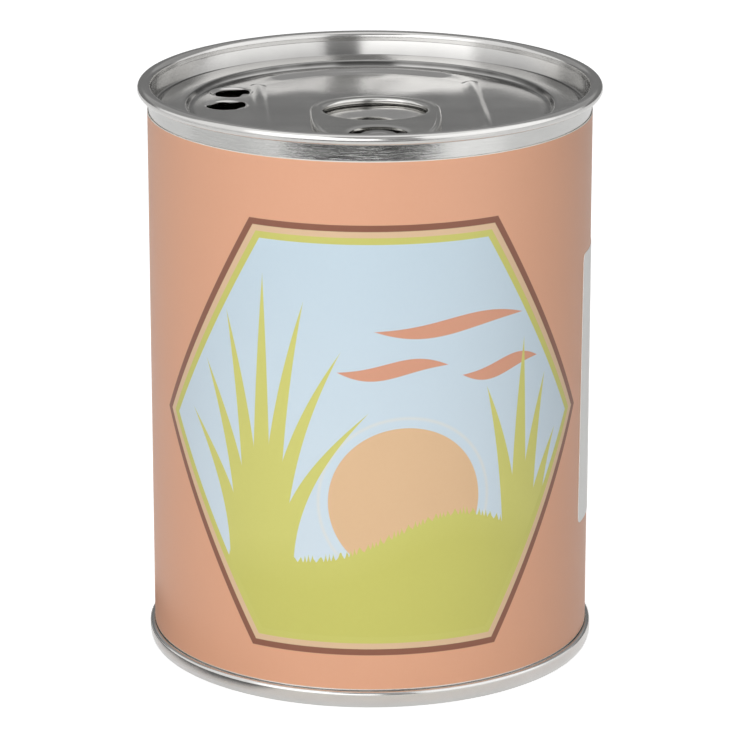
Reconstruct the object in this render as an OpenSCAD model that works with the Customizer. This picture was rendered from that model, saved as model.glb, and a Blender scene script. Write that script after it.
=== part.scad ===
// Citronella candle in a tin can with an easy-open lid.
// The can stands on its bottom seam at z = 0, on the Z axis, and its printed front looks towards -Y.

/* [Can body] */
// Overall height of the can
can_h = 95.95; // [80:0.05:125]
// Outer radius of the tin wall
body_r = 36.48; // [34:0.01:45]
// Thickness of the tinplate
tin_t = 0.2; // [0.16:0.01:0.22]
// Width of the welded side seam
weld_w = 1.2; // [0.8:0.1:2]
// Height of the weld above the wall
weld_proud = 0.03; // [0.02:0.01:0.04]

/* [Both ends] */
// Wall radius for which the sizes across the lid and the bottom are given
drawn_r = 36.48; // [34:0.01:45]

/* [Bottom end] */
// Height of the double seam at the foot
seam_h = 2.76; // [2.5:0.01:3.3]
// Clearance between the folded layers of a seam
fold_gap = 0.04; // [0.03:0.01:0.05]
// Outer bend radius at the resting edge of the foot
foot_bend = 0.42; // [0.35:0.01:0.46]
// Height of the bottom panel above the resting edge
panel_rise = 2.9; // [2.4:0.1:3.4]
// Height of the groove around the bottom panel, above the panel
groove_rise = 0.9; // [0.5:0.1:1.2]
// Radius at which the inner ring of the bottom panel starts
ring_r = 13; // [12:0.5:15]
// Width of each ring pressed into the bottom panel
ring_w = 6; // [4:0.5:7]
// Distance from one pressed ring to the next
ring_pitch = 11; // [9:0.5:12]
// Height of the pressed rings
ring_rise = 0.6; // [0.3:0.1:0.8]

/* [Rim] */
// How far the rolled rim stands out of the wall
rim_over = 1.79; // [1.5:0.01:2.1]
// Height of the rolled rim
rim_h = 1.75; // [1.6:0.01:2]

/* [Lid] */
// Angle by which the lid is turned about the can's axis
lid_turn = 3.5; // [-180:0.5:180]
// Depth of the lid's outer land below the rim
land_drop = 3.6; // [3:0.05:5]
// Depth of the panel below the land
panel_drop = 1; // [0.6:0.05:1.4]
// Distance from the wall to the groove's middle
groove_in = 1.3; // [1.2:0.05:1.7]
// Width of the lid's groove
groove_w = 1.6; // [1.2:0.05:1.8]
// Depth of the lid's groove below the land
groove_drop = 0.35; // [0.3:0.05:0.5]
// Radius of the sunk panel
panel_r = 29.9; // [29:0.1:31]
// Distance from the panel's edge to the tear line
score_in = 0.8; // [0.6:0.1:1]
// Depth of the tear line
score_d = 0.08; // [0.05:0.01:0.1]
// Half width of a pressed bead
bead_w = 1.15; // [0.8:0.05:1.2]
// Height of a pressed bead
bead_h = 0.4; // [0.3:0.05:0.6]
// Distance of the straight beads from the lid's centre line
bead_x = 17.9; // [16.5:0.1:19]
// Length of the straight beads
bead_l = 35.6; // [30:0.1:38]
// Radius of the arc bead
arc_r = 27; // [26:0.1:27.4]
// Angle covered by the arc bead
arc_angle = 60; // [40:1:66]
// Radius of the finger well
well_r = 8.4; // [7.5:0.1:9]
// Depth of the finger well
well_d = 1.4; // [1:0.1:2]
// Diameter of the vent holes
vent_d = 5.9; // [5:0.1:6.4]
// Distance between the vent holes
vent_pitch = 9.2; // [7.5:0.1:9.4]
// Distance of the vent holes' middle from the lid's centre line
vent_x = 23; // [22.8:0.1:23.2]
// Distance of the vent holes' middle behind the lid's centre
vent_y = 7.5; // [4:0.1:7.6]
// Angle by which the line through the vent holes leans towards the lid's centre
vent_lean = 6.6; // [0:0.2:7]
// Depth of the rolled lip under a vent hole
lip_h = 0.35; // [0.2:0.05:0.5]

/* [Pull tab] */
// Distance of the rivet from the lid's centre
rivet_y = 22.5; // [21:0.1:22.8]
// Angle of the tab about its rivet
tab_turn = -1.8; // [-5:0.1:5]
// Half width of the ring
tab_a = 10.75; // [9.5:0.05:11]
// Half length of the ring, away from the rivet
tab_b = 9.8; // [8.5:0.1:10]
// Distance from the rivet to the ring's centre
tab_reach = 16.6; // [16:0.1:17.5]
// Distance from the rivet to the tip of the nose
nose_reach = 6; // [5.6:0.1:6.4]
// Height of the tab from its curled underside to its top
tab_h = 1.2; // [1:0.05:1.4]
// Thickness of the tab's sheet
tab_t = 0.35; // [0.3:0.01:0.4]
// Width of the ring at its sides
ring_side = 2.25; // [1.9:0.05:2.6]
// Width of the ring at its far end
ring_end = 2.4; // [2:0.1:2.8]
// Clearance between the tab and what it lies on
tab_gap = 0.05; // [0.03:0.01:0.1]
// Radius of the rivet's shank
shank_r = 1.9; // [1.6:0.1:2.2]
// Radius of the rivet's head
head_r = 3; // [2.7:0.1:3.3]
// Thickness of the rivet's head
head_t = 0.5; // [0.4:0.05:0.6]
// Radius of the tongue under the rivet's head
tongue_r = 4; // [3.7:0.1:4.2]
// Width of the slot around the tongue
slot_w = 0.8; // [0.6:0.1:1]

/* [Candle] */
// Depth of the wax surface below the rim
wax_drop = 27.95; // [15:0.05:50]
// Rise of the wax where it clings to the wall
wax_cling = 0.7; // [0.3:0.1:1.2]
// Radius of the wick
wick_r = 1.2; // [0.8:0.1:1.4]
// Length of wick above the wax
wick_out = 8; // [5:0.5:12]
// Radius of the sustainer's foot
foot_r = 10; // [7:0.5:11]
// Thickness of the sustainer's metal
foot_t = 0.25; // [0.2:0.01:0.3]
// Height of the sustainer's collar
collar_h = 6; // [4:0.5:9]
// Radius of the glue dot
glue_r = 6; // [4:0.5:6.5]
// Thickness of the glue dot
glue_t = 0.6; // [0.4:0.1:1]
// Clearance between the wax and what it was cast around
cast_gap = 0.03; // [0.02:0.01:0.05]

/* [Paper label] */
// Thickness of the paper
paper_t = 0.12; // [0.08:0.01:0.15]
// Clearance for the glue under the paper
glue_gap = 0.05; // [0.05:0.01:0.08]
// Width of the bare tin between the rim and the label
bare_top = 2.8; // [2:0.1:5]
// Distance from the bottom seam to the label
bare_low = 0.2; // [0.1:0.1:1]
// Width of the glued overlap at the back
lap_w = 8; // [5:1:12]
// Height of the sticker
sticker_h = 46.4; // [30:0.1:50]
// Width of the sticker
sticker_w = 38; // [30:1:45]
// Distance along the paper from the print's corner to the sticker
sticker_gap = 3.47; // [2:0.01:8]
// Distance of the sticker's middle below the label's middle
sticker_drop = 1.58; // [-4:0.01:6]
// Angle by which the sticker was stuck askew
sticker_tilt = 1.4; // [-3:0.1:3]
// Thickness of the sticker
sticker_t = 0.08; // [0.05:0.01:0.1]

/* [Print] */
// Distance along the paper from the front to the print's middle
print_s = 0.7; // [-3:0.1:3]
// Distance of the print's middle below the label's middle
print_drop = 2.18; // [0:0.01:3]
// Mean height of label left free above and below the print
print_margin = 8.17; // [6:0.01:12]
// Width of the border's outer line
line_w = 1.05; // [0.8:0.05:1.4]
// Width of the border's middle line
line2_w = 1; // [0.8:0.05:1.4]
// Width of the border's inner line
line3_w = 1.1; // [0.8:0.05:1.4]
// Thickness of the ink
ink_t = 0.03; // [0.02:0.01:0.04]
// Size of the sun, in percent of the size drawn here
sun_percent = 100; // [70:5:110]
// Thickness of the clouds, in percent
cloud_percent = 100; // [60:5:140]
// Width of the leaves, in percent
leaf_percent = 100; // [60:5:130]

/* [Hidden] */

// Facets of the round forms, and the steps of a bend
round_fn = 180;
small_fn = 48;
bend_steps = 5;

// Centre lines of the sheet in the seams, from the can's axis outwards
half_t = tin_t / 2;
layer = tin_t + fold_gap;
wall_r = body_r - half_t;
chuck_r = wall_r - layer;
hook_r = wall_r + layer;
body_hook_r = wall_r + 2 * layer;
seam_r = wall_r + 3 * layer;
rim_r = body_r + rim_over - half_t;

// The sizes across the two ends grow with the wall.
end_k = body_r / drawn_r;
panel_edge = panel_r * end_k;

// Heights of the sheet's centre line
rim_z = can_h - half_t;
rim_low_z = can_h - rim_h + half_t;
rim_bend = 0.48 * (rim_h - tin_t);
land_z = can_h - land_drop - half_t;
panel_z = land_z - panel_drop;
panel_top = panel_z + half_t;
groove_r = body_r - groove_in;
floor_z = panel_rise + half_t;
floor_top = floor_z + half_t;
floor_groove_z = floor_z + groove_rise;

// Bends of the sheet, and the width of the step at the panel's edge
small_bend = 2 * tin_t;
groove_bend = 1.5 * tin_t;
chuck_bend = 5 * tin_t;
step_w = 2.5 * tin_t;

// Hooks of the two seams
flange_z = rim_z - layer;
rim_hook_r = wall_r + 0.5;
rim_body_hook_r = wall_r + 1;
hook_end_z = 3.6 * tin_t;
seal_t = 0.14;
seal_w = 0.36;

label_in = body_r + glue_gap;
label_r = label_in + paper_t;
label_low = seam_h + bare_low;
label_high = can_h - rim_h - bare_top;
label_mid = (label_low + label_high) / 2;
ink_r = label_r + ink_t;
wax_top = can_h - wax_drop;

// A corner of an outline is [r, z, bend radius]. This gives the points of the outline with each corner bent.
function unit(v) = v / norm(v);
function turned(v, a) = [v.x * cos(a) - v.y * sin(a), v.x * sin(a) + v.y * cos(a)];
function bend(a, b, c, radius) =
    let (u = unit(b - a), v = unit(c - b),
        turn = atan2(u.x * v.y - u.y * v.x, u * v),
        centre = b + unit(v - u) * radius / cos(turn / 2),
        start = b - u * radius * tan(abs(turn) / 2))
    [for (i = [0:bend_steps]) centre + turned(start - centre, turn * i / bend_steps)];
function bent(corners) =
    [for (i = [0:len(corners) - 1])
        let (p = [corners[i].x, corners[i].y])
        each (i == 0 || i == len(corners) - 1 || corners[i].z == 0) ? [p] :
            bend([corners[i - 1].x, corners[i - 1].y], p, [corners[i + 1].x, corners[i + 1].y], corners[i].z)];

// The line beside an outline at a distance, to its left when it is positive.
function beside(path, distance) =
    [for (i = [0:len(path) - 1])
        let (u = unit(path[min(i + 1, len(path) - 1)] - path[min(i, len(path) - 2)]),
            v = unit(path[max(i, 1)] - path[max(i - 1, 0)]),
            m = unit(u + v))
        path[i] + [-m.y, m.x] * distance / (m * u)];
function sheet(path, thickness) =
    concat(beside(path, thickness / 2), [for (i = [len(path) - 1:-1:0]) beside(path, -thickness / 2)[i]]);

module turned_sheet(path, thickness) {
    rotate_extrude($fn = round_fn) polygon(sheet(path, thickness));
}

module disc(radius, low, high, fn = round_fn) {
    translate([0, 0, low]) cylinder(r = radius, h = high - low, $fn = fn);
}

module tube(inner, outer, low, high) {
    difference() {
        disc(outer, low, high);
        disc(inner, low - 1, high + 1);
    }
}

// Can body: a hook in the bottom seam, the wall, and a flange that hooks into the rim.
body_path = bent([
    [body_hook_r, seam_h - 3.5 * tin_t, 0],
    [body_hook_r, half_t + layer, layer - 0.001],
    [wall_r, half_t + layer, layer - 0.001],
    [wall_r, flange_z, rim_bend - layer],
    [rim_body_hook_r, flange_z, 1.2 * tin_t],
    [rim_body_hook_r, rim_low_z + 0.45 * rim_h, 0]]);

module can_body() {
    color("#c9c8c4") {
        turned_sheet(body_path, tin_t);
        intersection() {
            tube(body_r - half_t, body_r + weld_proud, label_low, can_h - rim_h - tin_t);
            translate([-weld_w / 2, 0, 0]) cube([weld_w, 2 * body_r, can_h]);
        }
    }
}

// Bottom end: panel with two pressed rings, groove, wall and the hook of the double seam.
function pressed_ring(start) = [
    [start, floor_z, ring_rise],
    [start + ring_rise, floor_z + ring_rise, ring_rise],
    [start + ring_w * end_k, floor_z + ring_rise, ring_rise],
    [start + ring_w * end_k + ring_rise, floor_z, ring_rise]];
floor_corners = concat(
    [[0, floor_z, 0]],
    pressed_ring(ring_r * end_k),
    pressed_ring((ring_r + ring_pitch) * end_k),
    [[groove_r - 3 * small_bend, floor_z, small_bend],
    [groove_r - 2 * small_bend, floor_groove_z, small_bend],
    [groove_r + 1.25 * small_bend, floor_groove_z, small_bend]]);
end_path = bent(concat(floor_corners, [
    [chuck_r, floor_groove_z - 2 * chuck_bend, chuck_bend],
    [chuck_r, half_t, foot_bend - half_t],
    [seam_r, half_t, foot_bend - half_t],
    [seam_r, seam_h - half_t, layer - 0.001],
    [hook_r, seam_h - half_t, layer - 0.001],
    [hook_r, hook_end_z, 0]]));

module bottom_end() {
    color("#bfbfbc") turned_sheet(end_path, tin_t);
}

// A ring of sealing compound lies over the end of the hook in each seam.
module seal(middle_r, low) {
    color("#8f9a86")
        rotate_extrude($fn = round_fn)
            translate([middle_r - seal_w / 2 / 2, low]) square([seal_w / 2, seal_t]);
}

module bottom_seal() {
    seal(hook_r, hook_end_z - fold_gap - seal_t);
}

module top_seal() {
    seal(rim_hook_r, flange_z - half_t - fold_gap - seal_t);
}

// Lid: panel, step up to the land, groove, wall, and the rolled rim with its hook.
lid_path = bent([
    [0, panel_z, 0],
    [panel_edge, panel_z, small_bend],
    [panel_edge + step_w, land_z, small_bend],
    [groove_r - groove_w / 2, land_z, groove_bend],
    [groove_r - groove_w / 4, land_z - groove_drop, groove_bend],
    [groove_r + groove_w / 4, land_z - groove_drop, small_bend],
    [chuck_r, rim_low_z + tin_t, 1.2 * chuck_bend],
    [chuck_r, rim_z, rim_bend],
    [rim_r, rim_z, rim_bend],
    [rim_r, rim_low_z, rim_bend],
    [rim_hook_r, rim_low_z, 1.2 * tin_t],
    [rim_hook_r, flange_z - half_t - 2 * fold_gap - seal_t, 0]]);

// A bead is the part of a round bar that stands above the panel.
bead_bar_r = (bead_w * bead_w + bead_h * bead_h) / (2 * bead_h);
bead_z = panel_top + bead_h - bead_bar_r;
bead_end = bead_l / 2 * end_k - bead_w;

module bead_bars(bar_r) {
    for (side = [-1, 1])
        translate([side * bead_x * end_k, 0, bead_z]) {
            rotate([90, 0, 0]) cylinder(r = bar_r, h = 2 * bead_end, center = true, $fn = small_fn);
            for (end = [-1, 1])
                translate([0, end * bead_end, 0]) sphere(r = bar_r, $fn = small_fn);
        }
    translate([0, 0, bead_z]) {
        rotate([0, 0, 90 - arc_angle / 2])
            rotate_extrude(angle = arc_angle, $fn = round_fn)
                translate([arc_r * end_k, 0]) circle(r = bar_r, $fn = small_fn);
        for (end = [-1, 1])
            rotate([0, 0, 90 + end * arc_angle / 2])
                translate([arc_r * end_k, 0, 0]) rotate([90, 0, 0]) sphere(r = bar_r, $fn = small_fn);
    }
}

// Rivet button, drawn up from the panel: hollow shank and closed head.
tongue_low = panel_top + tab_gap;
head_low = tongue_low + tab_t + tab_gap;
head_top = head_low + head_t;
bore_top = head_low + 0.3 * head_t;
stem_r = shank_r * end_k;
button_r = head_r * end_k;

module rivet() {
    rotate_extrude($fn = small_fn)
        polygon(concat(
            [[0, bore_top], [stem_r - tin_t, bore_top], [stem_r - tin_t, panel_z - half_t],
            [stem_r, panel_z - half_t], [stem_r, head_low]],
            bend([stem_r, head_low], [button_r, head_low], [button_r, head_top], 0.3 * head_t),
            bend([button_r, head_low], [button_r, head_top], [0, head_top], 0.5 * head_t),
            [[0, head_top]]));
}

// Finger well: a shallow bowl under the tab's ring.
well_y = (tab_reach - rivet_y) * end_k;
bowl_r = well_r * end_k;
join_w = 6 * tin_t;
well_path = bent([
    [0, panel_z - well_d, 0],
    [0.5 * bowl_r, panel_z - well_d, 0.5 * bowl_r],
    [bowl_r, panel_z, 0.1 * bowl_r],
    [bowl_r + join_w, panel_z, 0]]);

vent_r = vent_d / 2 * end_k;
module at_vents() {
    for (end = [-1, 1])
        translate(end_k * [-vent_x, vent_y, 0]) rotate([0, 0, -vent_lean])
            translate([0, end * vent_pitch / 2 * end_k, 0]) children();
}

// Outline of the tear line's groove, about the middle of its mouth
tear_line = [[-1.5 * score_d, 0.01], [0, -score_d], [1.5 * score_d, 0.01]];

module lid_end() {
    color("#c4c3c0") rotate([0, 0, lid_turn]) difference() {
        union() {
            difference() {
                turned_sheet(lid_path, tin_t);
                translate([0, well_y, 0]) disc(bowl_r + 0.8 * join_w, panel_z - 1, panel_z + 1);
                translate([0, -rivet_y * end_k, 0]) disc(stem_r - tin_t, panel_z - 1, panel_z + 1, small_fn);
            }
            translate([0, well_y, 0]) turned_sheet(well_path, tin_t);
            translate([0, -rivet_y * end_k, 0]) rivet();
            intersection() {
                bead_bars(bead_bar_r);
                disc(panel_edge, panel_z, panel_z + 2);
            }
            at_vents() disc(vent_r + tin_t, panel_z - half_t - lip_h, panel_z, small_fn);
        }
        bead_bars(bead_bar_r - tin_t);
        at_vents() disc(vent_r, panel_z - 1, panel_z + 2, small_fn);
        rotate_extrude($fn = round_fn)
            translate([panel_edge - score_in, panel_top]) polygon(tear_line);
    }
}

// Outline of the tab about the ring's centre: half an ellipse behind, and a blunter curve to the nose.
ring_a = tab_a * end_k;
ring_b = tab_b * end_k;
ring_reach = tab_reach * end_k;
nose = nose_reach * end_k;
tab_l = ring_reach + nose;
tongue = tongue_r * end_k;
nose_power = 2.6;
tab_steps = 64;
function signed_power(value, power) = sign(value) * pow(abs(value), power);
function tab_point(angle, inset) =
    sin(angle) >= 0 ?
    [(ring_a - inset) * cos(angle), (ring_b - inset) * sin(angle)] :
    [(ring_a - inset) * signed_power(cos(angle), 2 / nose_power),
        (tab_l - inset) * signed_power(sin(angle), 2 / nose_power)];
function tab_outline(inset) = [for (i = [0:tab_steps - 1]) tab_point(360 * i / tab_steps, inset)];
function hole_outline(outset) =
    [for (i = [0:tab_steps - 1])
        let (angle = 360 * i / tab_steps)
        [(ring_a - ring_side + outset) * cos(angle), (ring_b - ring_end + outset) * sin(angle)]];

// A closed ring of round section along an outline.
module curl(outline, wide, high, middle_z) {
    n = len(outline);
    sides = 12;
    points = [for (i = [0:n - 1])
        let (ahead = unit(outline[(i + 1) % n] - outline[(i + n - 1) % n]), out = [ahead.y, -ahead.x])
        for (k = [0:sides - 1])
            let (p = outline[i] + out * wide * cos(360 * k / sides))
            [p.x, p.y, middle_z + high * sin(360 * k / sides)]];
    faces = [for (i = [0:n - 1], k = [0:sides - 1])
        let (j = (i + 1) % n, m = (k + 1) % sides)
        [i * sides + k, i * sides + m, j * sides + m, j * sides + k]];
    polyhedron(points, faces);
}

// Pull tab: curled outer and inner edges, the sheet between them, and the tongue under the rivet's head.
module pull_tab() {
    curl_r = tab_h / 2;
    inner_curl = 0.42 * tab_h;
    low = tongue_low;
    sheet_z = low + 0.9 * tab_h - tab_t;
    color("#bdbcb8")
        rotate([0, 0, lid_turn]) translate([0, -rivet_y * end_k, 0]) rotate([0, 0, tab_turn]) difference() {
            union() {
                translate([0, ring_reach, 0]) {
                    curl(tab_outline(curl_r), curl_r, curl_r, low + curl_r);
                    curl(hole_outline(inner_curl), inner_curl, inner_curl, low + curl_r);
                    translate([0, 0, sheet_z]) linear_extrude(tab_t) difference() {
                        polygon(tab_outline(curl_r));
                        polygon(hole_outline(inner_curl));
                        translate([0, -ring_reach]) circle(r = tongue + slot_w, $fn = small_fn);
                    }
                }
                translate([0, 0, low]) linear_extrude(tab_t) {
                    circle(r = tongue, $fn = small_fn);
                    translate([-0.8 * tongue, curl_r - nose]) square([1.6 * tongue, nose - curl_r]);
                }
            }
            translate([0, 0, low - 1]) cylinder(r = stem_r + tab_gap, h = 2 + tab_t, $fn = small_fn);
        }
}

// Wick, its stamped foot, and the glue that holds the foot to the bottom end.
foot_low = floor_top + 2 * cast_gap + glue_t;
foot_top = foot_low + foot_t;
collar_r = wick_r + cast_gap + foot_t;
collar_top = foot_low + collar_h;
collar_bend = 0.5 * wick_r;

module wick() {
    color("#e9e4d6") disc(wick_r, foot_top + cast_gap, wax_top + wick_out, small_fn);
}

module wick_sustainer() {
    color("#a9aaa8") rotate_extrude($fn = small_fn)
        polygon(concat(
            [[0, foot_low], [foot_r, foot_low], [foot_r, foot_top]],
            bend([foot_r, foot_top], [collar_r, foot_top], [collar_r, collar_top], collar_bend),
            [[collar_r, collar_top], [wick_r + cast_gap, collar_top], [wick_r + cast_gap, foot_top], [0, foot_top]]));
}

module glue_dot() {
    color("#d8d3bf") disc(glue_r, floor_top + cast_gap, foot_low - cast_gap, small_fn);
}

// Wax, cast around the wick and its foot, on the bottom end and up to the wall.
module wax_fill() {
    wax_r = body_r - tin_t - cast_gap;
    bed = beside(bent(concat(floor_corners, [[wax_r, floor_groove_z, 0]])), half_t + cast_gap);
    surface = bent([[wax_r, wax_top + wax_cling, 0], [wax_r - 2 * wax_cling, wax_top, 3 * wax_cling],
        [wick_r + 4 * wax_cling, wax_top, wax_cling], [wick_r + cast_gap, wax_top + wax_cling / 2, 0]]);
    color("#f1ead2") rotate_extrude($fn = round_fn)
        polygon(concat(
            surface,
            [[wick_r + cast_gap, collar_top + cast_gap], [collar_r + cast_gap, collar_top + cast_gap],
            [collar_r + cast_gap, foot_top + collar_bend + cast_gap],
            [collar_r + collar_bend + cast_gap, foot_top + cast_gap],
            [foot_r + cast_gap, foot_top + cast_gap], [foot_r + cast_gap, foot_low - cast_gap],
            [glue_r + cast_gap, foot_low - cast_gap], [glue_r + cast_gap, floor_top + cast_gap]],
            [for (p = bed) if (p.x > glue_r + cast_gap) p]));
}

// Paper label: one wrap with a second layer where it overlaps at the back.
module paper_label() {
    color("#dcab8b") {
        tube(label_in, label_r, label_low, label_high);
        intersection() {
            tube(label_r - paper_t / 2, label_r + paper_t, label_low, label_high);
            translate([-lap_w / 2, 0, 0]) cube([lap_w, 2 * label_r, can_h]);
        }
    }
}

// A point of the flat print, wrapped round the label and seen from the front.
function wrapped(p) = [label_r * sin(p.x / label_r * 180 / PI), p.y];
function placed(outline) = [for (p = outline) wrapped([print_s + p.x, label_mid - print_drop + p.y])];

// A column of the outline's shape through the front of the can.
module stamp(outline) {
    rotate([90, 0, 0]) linear_extrude(2 * label_r) polygon(placed(outline));
}

// Sticker: its own film, in its place to the right of the front.
module side_sticker() {
    sticker_s = print_s + border_a / cos(30) + sticker_gap;
    mid_angle = (sticker_s + sticker_w / 2) / label_r * 180 / PI;
    half_angle = sticker_w / 2 / label_r * 180 / PI;
    color("#f4f4f2") intersection() {
        tube(label_r + fold_gap / 2, label_r + fold_gap / 2 + sticker_t, label_low, label_high);
        rotate([0, 0, mid_angle]) rotate([90, 0, 0]) linear_extrude(2 * label_r)
            polygon([for (corner = [[-1, -1], [1, -1], [1, 1], [-1, 1]])
                let (p = turned([corner.x * sticker_w / 2, corner.y * sticker_h / 2], -sticker_tilt))
                [label_r * sin(min(p.x / label_r * 180 / PI, half_angle + 2)), label_mid - sticker_drop + p.y]]);
    }
}

// Six-sided outline with its flats at the top and the bottom.
edge_steps = 8;
function six_sides(apothem) =
    [for (k = [0:5], i = [0:edge_steps - 1])
        let (a = turned([apothem / cos(30), 0], 60 * k), b = turned([apothem / cos(30), 0], 60 * k + 60))
        a + (b - a) * i / edge_steps];
border_a = (label_high - label_low) / 2 - print_margin;
inner_a = border_a - line_w;
lime_a = inner_a - line2_w;
picture_a = lime_a - line3_w;

// The picture's own unit: the border's half size is 36 of them.
grain = border_a / 36;

// Rolling ground, from side to side of the picture.
function ground_top(u) = -19 + 4.5 * sin(4.4 * u + 35) + 1.6 * sin(10 * u - 50);
function ground() = grain * concat([for (u = [-42:2:42]) [u, ground_top(u)]], [[42, -40], [-42, -40]]);

// A leaf rises from its foot to its height, leans over as the square of its height, and narrows to a point.
// Each leaf is [foot, height, lean], and it starts below the ground's surface.
leaf_foot = -22;
leaves = [[-22, 33, -8], [-20.5, 42, -5], [-19, 49, 0.5], [-17.5, 45, 6], [-16.5, 37, 11], [-15, 27, 14],
    [-23.5, 24, -10], [24, 30, -5], [25.5, 37, 1], [27, 30, 4.5], [28.5, 20, 6]];
leaf_half = 1.7 * leaf_percent / 100;
leaf_steps = 8;
function leaf_at(leaf, t, side) =
    grain * [leaf[0] + leaf[2] * t * t + side * leaf_half * (1 - t * t), leaf_foot + leaf[1] * t];
function leaf_outline(leaf) = concat(
    [for (i = [0:leaf_steps]) leaf_at(leaf, i / leaf_steps, 1)],
    [for (i = [leaf_steps - 1:-1:0]) leaf_at(leaf, i / leaf_steps, -1)]);

// The sun stands behind the ground.
sun_at = [5, -10];
sun_size = 12.5 * sun_percent / 100;
function sun() = [for (i = [0:47]) grain * (sun_at + sun_size * [cos(7.5 * i), sin(7.5 * i)])];

// A cloud is a long lens that curves gently. Each cloud is [middle u, middle v, half length].
clouds = [[13, 19, 13], [3, 12.2, 9], [22, 11, 7.5]];
cloud_half = 1.3 * cloud_percent / 100;
cloud_steps = 10;
function cloud_at(cloud, i, side) =
    let (k = i / cloud_steps)
    grain * [cloud[0] + cloud[2] * k, cloud[1] + 0.8 * sin(150 * k) + side * cloud_half * (1 - k * k)];
function cloud_outline(cloud) = concat(
    [for (i = [-cloud_steps:cloud_steps]) cloud_at(cloud, i, 1)],
    [for (i = [cloud_steps - 1:-1:1 - cloud_steps]) cloud_at(cloud, i, -1)]);

module ink() {
    intersection() {
        tube(label_r, ink_r, label_low, label_high);
        children();
    }
}

module green_shapes() {
    stamp(ground());
    for (leaf = leaves)
        stamp(leaf_outline(leaf));
}

module cloud_shapes() {
    for (cloud = clouds)
        stamp(cloud_outline(cloud));
}

module print_border() {
    color("#8d5c48") ink() difference() {
        stamp(six_sides(border_a));
        stamp(six_sides(inner_a));
    }
}

module print_inner_border() {
    color("#dfbf9c") ink() difference() {
        stamp(six_sides(inner_a));
        stamp(six_sides(lime_a));
    }
}

module print_green() {
    color("#c8c768") ink() intersection() {
        stamp(six_sides(lime_a));
        union() {
            difference() {
                stamp(six_sides(lime_a));
                stamp(six_sides(picture_a));
            }
            green_shapes();
        }
    }
}

module print_sun() {
    color("#e0b98c") ink() difference() {
        intersection() {
            stamp(sun());
            stamp(six_sides(picture_a));
        }
        green_shapes();
    }
}

module print_clouds() {
    color("#d99b80") ink() difference() {
        intersection() {
            cloud_shapes();
            stamp(six_sides(picture_a));
        }
        green_shapes();
    }
}

module print_sky() {
    color("#c8dae6") ink() difference() {
        stamp(six_sides(picture_a));
        green_shapes();
        stamp(sun());
        cloud_shapes();
    }
}

can_body();
bottom_end();
bottom_seal();
lid_end();
top_seal();
pull_tab();
wax_fill();
wick();
wick_sustainer();
glue_dot();
paper_label();
side_sticker();
print_border();
print_inner_border();
print_sky();
print_green();
print_sun();
print_clouds();
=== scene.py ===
import math

import bmesh
import bpy
import numpy as np
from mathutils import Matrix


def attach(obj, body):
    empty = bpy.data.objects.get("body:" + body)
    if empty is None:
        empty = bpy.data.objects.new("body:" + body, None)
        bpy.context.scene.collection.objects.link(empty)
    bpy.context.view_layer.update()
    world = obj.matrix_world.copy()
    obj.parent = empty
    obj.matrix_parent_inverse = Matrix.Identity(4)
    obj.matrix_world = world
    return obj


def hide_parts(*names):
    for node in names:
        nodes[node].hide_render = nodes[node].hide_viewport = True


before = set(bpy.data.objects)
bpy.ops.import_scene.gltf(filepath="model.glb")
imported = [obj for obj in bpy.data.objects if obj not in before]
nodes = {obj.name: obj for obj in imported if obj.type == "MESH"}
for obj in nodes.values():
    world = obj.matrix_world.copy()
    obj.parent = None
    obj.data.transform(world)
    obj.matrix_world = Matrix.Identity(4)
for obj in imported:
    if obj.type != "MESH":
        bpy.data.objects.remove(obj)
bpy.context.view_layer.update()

print("frame loaded")

mm = 0.001          # every length below is in millimetres

# The can as the frame has it: its wall, its sheet, the layers of its two folded seams, and its tab's sheet.
can = {
    "height": 95.95, "wallRadius": 36.48, "tin": 0.2, "foldGap": 0.04, "seamHeight": 2.76,
    "rimOver": 1.79, "rimHeight": 1.75, "tabSheet": 0.35, "tabGap": 0.05, "turns": 400,
}
halfTin = can["tin"] / 2
layer = can["tin"] + can["foldGap"]
wallR = can["wallRadius"] - halfTin
chuckR = wallR - layer
hookR = wallR + layer
bodyHookR = wallR + 2 * layer
seamR = wallR + 3 * layer
rimR = can["wallRadius"] + can["rimOver"] - halfTin
rimTop = can["height"] - halfTin
rimLow = can["height"] - can["rimHeight"] + halfTin
rimBend = 0.48 * (can["rimHeight"] - can["tin"])
flangeTop = rimTop - layer


# camera, fitted to the edges of the can: its place in metres, its tilt in degrees, its lens in millimetres

view = {
    "place": (0, -0.6627, 0.2508), "lookDown": 17.17, "lens": 200.98, "sensor": 36, "near": 0.01, "far": 20,
}
camera = bpy.data.objects.new("camera", bpy.data.cameras.new("camera"))
bpy.context.scene.collection.objects.link(camera)
bpy.context.scene.camera = camera
camera.data.sensor_width = view["sensor"]
camera.data.lens = view["lens"]
camera.location = view["place"]
camera.rotation_euler = (math.radians(90 - view["lookDown"]), 0, 0)
camera.data.clip_start, camera.data.clip_end = view["near"], view["far"]


# shader maths

class Wire:
    # A node's output. An expression on wires and numbers adds the Math nodes that work it out.
    def __init__(self, tree, socket):
        self.tree, self.socket = tree, socket

    def math(self, operation, *others):
        return addNode(self.tree, "ShaderNodeMath", {"operation": operation}, (self,) + others)

    def __add__(self, other): return self.math("ADD", other)
    def __radd__(self, other): return self.math("ADD", other)
    def __sub__(self, other): return self.math("SUBTRACT", other)
    def __rsub__(self, other): return (self * -1).math("ADD", other)
    def __mul__(self, other): return self.math("MULTIPLY", other)
    def __rmul__(self, other): return self.math("MULTIPLY", other)
    def __truediv__(self, other): return self.math("DIVIDE", other)
    def __pow__(self, other): return self.math("POWER", other)
    def __abs__(self): return self.math("ABSOLUTE")
    def __or__(self, other): return self.math("MAXIMUM", other)
    def __and__(self, other): return self.math("MINIMUM", other)

    def held(self): return (self | 0.0) & 1.0
    def sine(self): return self.math("SINE")
    def fraction(self): return self.math("FRACT")


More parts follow.
